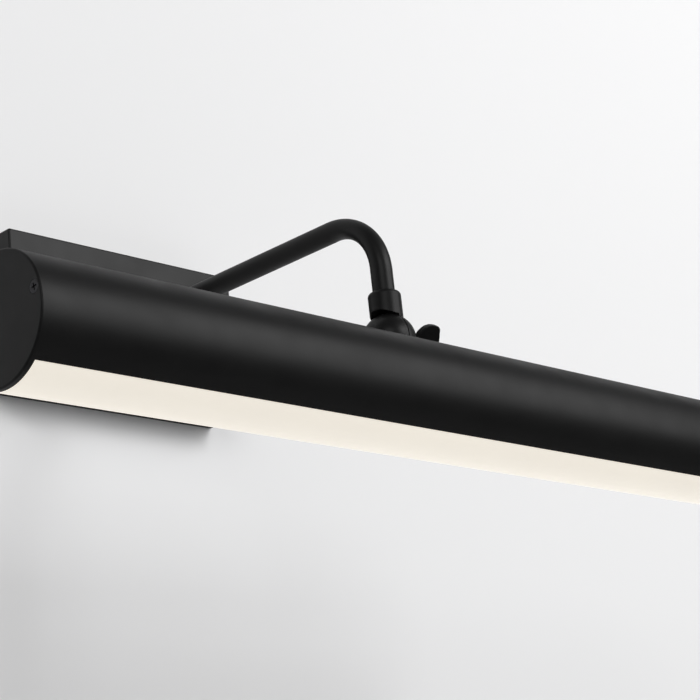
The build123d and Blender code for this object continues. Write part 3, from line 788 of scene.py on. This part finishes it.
def make_neck_nipple():
    """A hollow threaded nipple between the swivel and the nut inside the shade."""
    low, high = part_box("neck_nipple")
    radius = (high[0] - low[0]) / 2
    length = ((high[1] - low[1]) - 2 * radius * abs(NECK_DIRECTION.z)) / abs(NECK_DIRECTION.y)
    rod = threaded_rod(radius, 0.0, length, LAMP_PITCH, 56)
    bore = lathe([(NIPPLE_BORE_RADIUS, -MM), (NIPPLE_BORE_RADIUS, length + MM)], 48)
    start = middle_of("neck_nipple") - NECK_DIRECTION * length / 2
    nipple = placed(boolean(rod, bore), axis_frame(start, NECK_DIRECTION, (1, 0, 0)))
    add_piece("threaded_nipple", nipple, "neck_nipple", [SLOT_MATERIALS["zinc_steel"]])


def make_terminal_block():
    """A two-pole moulded block: grooves at its middle and edges, screw wells and wire entries."""
    low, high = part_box("terminal_block")
    screws = solids_of("terminal_screws")
    radius = (screws[0][1].x - screws[0][0].x) / 2
    body = block(low, high, 0.7 * MM)
    middle = (low[2] + high[2]) / 2
    for height in (middle - 0.5 * MM, low[2] - 0.3 * MM, high[2] - 0.7 * MM):
        groove = block((low[0] - MM, low[1] - MM, height),
                       (high[0] + MM, low[1] + 0.7 * MM, height + MM))
        body = boolean(body, groove)
    for start, stop in screws:
        centre = (start + stop) / 2
        well = lathe([(radius * 1.1, -0.5 * MM), (radius * 1.1, 4.0 * MM)], 32)
        well = placed(well, axis_frame((centre.x, low[1] + 3.0 * MM, centre.z), (0, -1, 0)))
        body = boolean(body, well)
    for row in {round((start.z + stop.z) / 2, 5) for start, stop in screws}:
        for x, toward in ((low[0], -1), (high[0], 1)):
            entry = lathe([(1.5 * MM, -4.0 * MM), (1.5 * MM, -0.4 * MM), (2.1 * MM, 0.2 * MM),
                           (2.1 * MM, 1.0 * MM)], 32)
            place = axis_frame((x, low[1] + 5.5 * MM, row), (toward, 0, 0))
            body = boolean(body, placed(entry, place))
    add_piece("moulded_terminal_block", body, "terminal_block",
              [SLOT_MATERIALS["terminal_white"]], FLAT_FACED)


def make_terminal_screws():
    """Slotted clamp screws at the bottom of the block's wells."""
    screws = []
    for low, high in solids_of("terminal_screws"):
        radius, height = (high.x - low.x) / 2, high.y - low.y
        top = lathe([(0.05 * MM, 0.0), (radius * 0.94, 0.0), (radius, 0.15 * MM),
                     (radius, height - 0.3 * MM), (radius - 0.3 * MM, height),
                     (0.05 * MM, height)], 40)
        slot = block((-radius * 1.2, -0.4 * MM, height - 0.9 * MM),
                     (radius * 1.2, 0.4 * MM, height + MM))
        made = boolean(top, slot)
        turn = Matrix.Rotation(radians(20 + 57 * len(screws)), 4, "Z")
        seat = ((low.x + high.x) / 2, high.y, (low.z + high.z) / 2)
        screws.append(placed(made, axis_frame(seat, (0, -1, 0)) @ turn))
    add_piece("slotted_terminal_screws", join(screws), "terminal_screws",
              [SLOT_MATERIALS["zinc_steel"]])


def flat_tool(outline, start, stop):
    """A cutter from an outline in XZ, between two places along Y."""
    return grid_tube([[(x, y, z) for x, z in outline] for y in (start, stop)], False)


def strap_outline(low, high):
    """The strap seen from above: a flat run with a rounded fold and a tab at each end."""
    inner = STRAP_BEND - STRAP_GAUGE
    turns = [pi / 2 * n / STRAP_BEND_STEPS for n in range(STRAP_BEND_STEPS + 1)]
    sides = []
    for sign, outside in ((1, high[0]), (-1, low[0])):
        arc_out = [(outside - sign * STRAP_BEND * (1 - sin(t)), -STRAP_BEND * (1 - cos(t)))
                   for t in turns]
        arc_in = [(outside - sign * (STRAP_BEND - inner * sin(t)), -STRAP_BEND + inner * cos(t))
                  for t in turns]
        tab_end = [(outside, low[1]), (outside - sign * STRAP_GAUGE, low[1])]
        sides.append(arc_out + tab_end + arc_in[::-1])
    right, left = sides
    return right + left[::-1]


def box_slot(sign):
    """A slot for an electrical box's screw, to the right or left of the middle, in XZ."""
    half, radius = (BOX_SLOT_LENGTH - BOX_SLOT_WIDTH) / 2, BOX_SLOT_WIDTH / 2
    centre = sign * BOX_SCREW_SPACING / 2
    outline = []
    for end, start in ((1, 0), (-1, pi)):
        for n in range(17):
            turn = start - pi / 2 + pi * n / 16
            outline.append((centre + half * end + radius * cos(turn), radius * sin(turn)))
    return outline


def supply_hole():
    """The round hole for the supply wires, in XZ."""
    turns = [2 * pi * n / 64 for n in range(64)]
    return [(SUPPLY_HOLE_X + SUPPLY_HOLE_RADIUS * cos(t), SUPPLY_HOLE_RADIUS * sin(t))
            for t in turns]


def make_strap():
    """A pressed strap with folded tabs, slots for the box screws and a supply hole."""
    low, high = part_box("mounting_strap")
    strap = prism(strap_outline(low, high), low[2], high[2])
    for sign in (1, -1):
        ends = sorted((sign * TAB_HALF_HEIGHT, sign * (high[2] + MM)))
        strap = boolean(strap, block((low[0] - MM, low[1] - MM, ends[0]),
                                     (high[0] + MM, -STRAP_BEND * 1.6, ends[1])))
    for outline in (box_slot(1), box_slot(-1), supply_hole()):
        strap = boolean(strap, flat_tool(outline, -STRAP_GAUGE - MM, MM))
    strap = with_modifiers(strap, ("BEVEL", {"width": STRAP_EDGE, "segments": 2,
                                             "limit_method": "ANGLE",
                                             "angle_limit": radians(50)}))
    add_piece("folded_strap", strap, "mounting_strap", [SLOT_MATERIALS["zinc_steel"]], FLAT_FACED)


WIRE_COLOURS = (("wire_black", (0.012, 0.012, 0.013), (0.02, 0.02, 0.021)),
                ("wire_white", (0.65, 0.61, 0.57), (0.70, 0.69, 0.65)))
WIRE_MATERIALS = [moulded(name, dark, light, 0.35) for name, dark, light in WIRE_COLOURS]
WIRE_RADIUS = 0.8 * MM
WIRE_SPREAD = 0.9 * MM
WIRE_TURN_RADIUS = 3.0 * MM


def make_arm_wires():
    """Two insulated wires from the block through the tube to the swivel, side by side."""
    low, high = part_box("arm_wires")
    arm_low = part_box("arm_tube")[0]
    x, plane_y = low[0] + WIRE_RADIUS, high[1] - WIRE_RADIUS
    down_y = arm_low[1] + LAMP_THREAD_RADIUS
    for letter, spread, material in zip("ab", (WIRE_SPREAD, -WIRE_SPREAD), WIRE_MATERIALS):
        corners = [Vector((high[0], plane_y, spread)), Vector((x, plane_y, spread)),
                   Vector((x, down_y - spread, spread)), Vector((x, down_y - spread, low[2]))]
        route = rounded_route(corners, [WIRE_TURN_RADIUS, BEND_RADIUS + spread])
        add_piece("arm_wire_" + letter, swept_round(route, WIRE_RADIUS), "arm_wires", [material])


make_lock_nuts()
make_neck_nipple()
make_terminal_block()
make_terminal_screws()
make_strap()
make_arm_wires()


# ---------------------------------------------------------------- light engine
def make_led_packages():
    """Each LED is a white frame with a round dish of yellow phosphor."""
    frames, dishes = [], []
    for low, high in solids_of("led_chips"):
        middle = (low + high) / 2
        body = block(low, high, 0.12 * MM, 2)
        dish_r = (high.y - low.y) * 0.40
        dish = lathe([(dish_r * 0.86, -0.15 * MM), (dish_r, 0.0), (dish_r, 0.3 * MM)], 24)
        place = axis_frame((middle.x, middle.y, low.z), (0, 0, -1))
        frames.append(boolean(body, placed(dish, place)))
        resin = lathe([(0.02 * MM, -0.2 * MM), (dish_r * 0.86, -0.2 * MM),
                       (dish_r * 0.98, -0.03 * MM), (dish_r * 0.6, -0.045 * MM),
                       (0.02 * MM, -0.055 * MM)], 24)
        dishes.append(placed(resin, place))
    add_piece("led_frames", join(frames), "led_chips", [SLOT_MATERIALS["board_white"]],
              FLAT_FACED)
    add_piece("led_dishes", join(dishes), "led_chips", [SLOT_MATERIALS["led_phosphor"]])


make_led_packages()


# ---------------------------------------------------------------- wall, floor, world and lamps
WALL_COLOUR = (0.87, 0.87, 0.875)
FLOOR_COLOUR = (0.62, 0.62, 0.62)
FLOOR_DROP = 1.5
FLOOR_DEPTH = 6.0
WALL_RISE = 4.0
ROOM_WIDTH = 16.0
OPENING_INSET = 2.5 * MM
WALL_GAP = 0.2 * MM
WORLD_STRENGTH = 0.19
# name, place from the swivel, width and height in metres, and watts
LAMPS = (
    ("key", (1.10, -1.64, 0.76), (2.0, 1.6), 33.0),
    ("accent", (0.60, -1.70, 0.90), (0.35, 0.6), 7.0),
    ("front", (-1.45, -1.45, 0.75), (1.3, 1.1), 12.5),
    ("behind", (-0.60, 1.30, 0.70), (0.9, 0.9), 9.0),
)


def one_sided(name, colour):
    """Plain matte paint that is seen from its front only, so that it never hides the object."""
    n = Nodes(name)
    shader = n.add("ShaderNodeBsdfDiffuse")
    n.link(n.ramp(n.noise(2.0, 2.0), [(0.3, colour), (0.7, tuple(c * 0.99 for c in colour))]),
           shader.inputs["Color"])
    clear = n.add("ShaderNodeBsdfTransparent")
    mix = n.add("ShaderNodeMixShader")
    n.link(n.add("ShaderNodeNewGeometry").outputs["Backfacing"], mix.inputs["Fac"])
    n.link(shader.outputs["BSDF"], mix.inputs[1])
    n.link(clear.outputs["BSDF"], mix.inputs[2])
    n.link(mix.outputs["Shader"], n.output.inputs["Surface"])
    return n.material


def stage_plane(name, corners, faces, material):
    """A flat piece of the stage, which isn't part of the object."""
    mesh = bpy.data.meshes.new(name)
    mesh.from_pydata(corners, [], faces)
    mesh.materials.append(material)
    plane = bpy.data.objects.new(name, mesh)
    bpy.context.scene.collection.objects.link(plane)


def make_stage():
    """A wall with an opening behind the plate, and a floor well below."""
    low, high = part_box("backplate_cover")
    left, right = low[0] + OPENING_INSET, high[0] - OPENING_INSET
    bottom, top = low[2] + OPENING_INSET, high[2] - OPENING_INSET
    floor, ceiling, half = SWIVEL.z - FLOOR_DROP, SWIVEL.z + WALL_RISE, ROOM_WIDTH / 2
    corners = [(-half, WALL_GAP, floor), (half, WALL_GAP, floor),
               (half, WALL_GAP, ceiling), (-half, WALL_GAP, ceiling),
               (left, WALL_GAP, bottom), (right, WALL_GAP, bottom),
               (right, WALL_GAP, top), (left, WALL_GAP, top)]
    around_opening = [(0, 1, 5, 4), (1, 2, 6, 5), (2, 3, 7, 6), (3, 0, 4, 7)]
    stage_plane("wall", corners, around_opening, one_sided("wall_paint", WALL_COLOUR))
    corners = [(-half, WALL_GAP, floor), (-half, -FLOOR_DEPTH, floor),
               (half, -FLOOR_DEPTH, floor), (half, WALL_GAP, floor)]
    stage_plane("floor", corners, [(0, 1, 2, 3)], one_sided("floor_paint", FLOOR_COLOUR))


def area_lamp(name, offset, size, power):
    """A white rectangular lamp that faces the swivel."""
    data = bpy.data.lights.new(name, "AREA")
    data.shape = "RECTANGLE"
    data.size, data.size_y = size
    data.energy = power
    lamp = bpy.data.objects.new(name, data)
    lamp.location = SWIVEL + Vector(offset)
    lamp.rotation_mode = "QUATERNION"
    lamp.rotation_quaternion = (-Vector(offset)).to_track_quat("-Z", "Y")
    bpy.context.scene.collection.objects.link(lamp)


def make_lights():
    """The lamps and an even white world. The lamp behind only reaches the plate's inside."""
    for lamp in LAMPS:
        area_lamp(*lamp)
    world = bpy.data.worlds.new("world")
    bpy.context.scene.world = world
    world.use_nodes = True
    ambient = world.node_tree.nodes["Background"]
    ambient.inputs["Color"].default_value = (1.0, 1.0, 1.0, 1.0)
    ambient.inputs["Strength"].default_value = WORLD_STRENGTH


make_stage()
make_lights()
bpy.context.scene.view_settings.view_transform = "Standard"
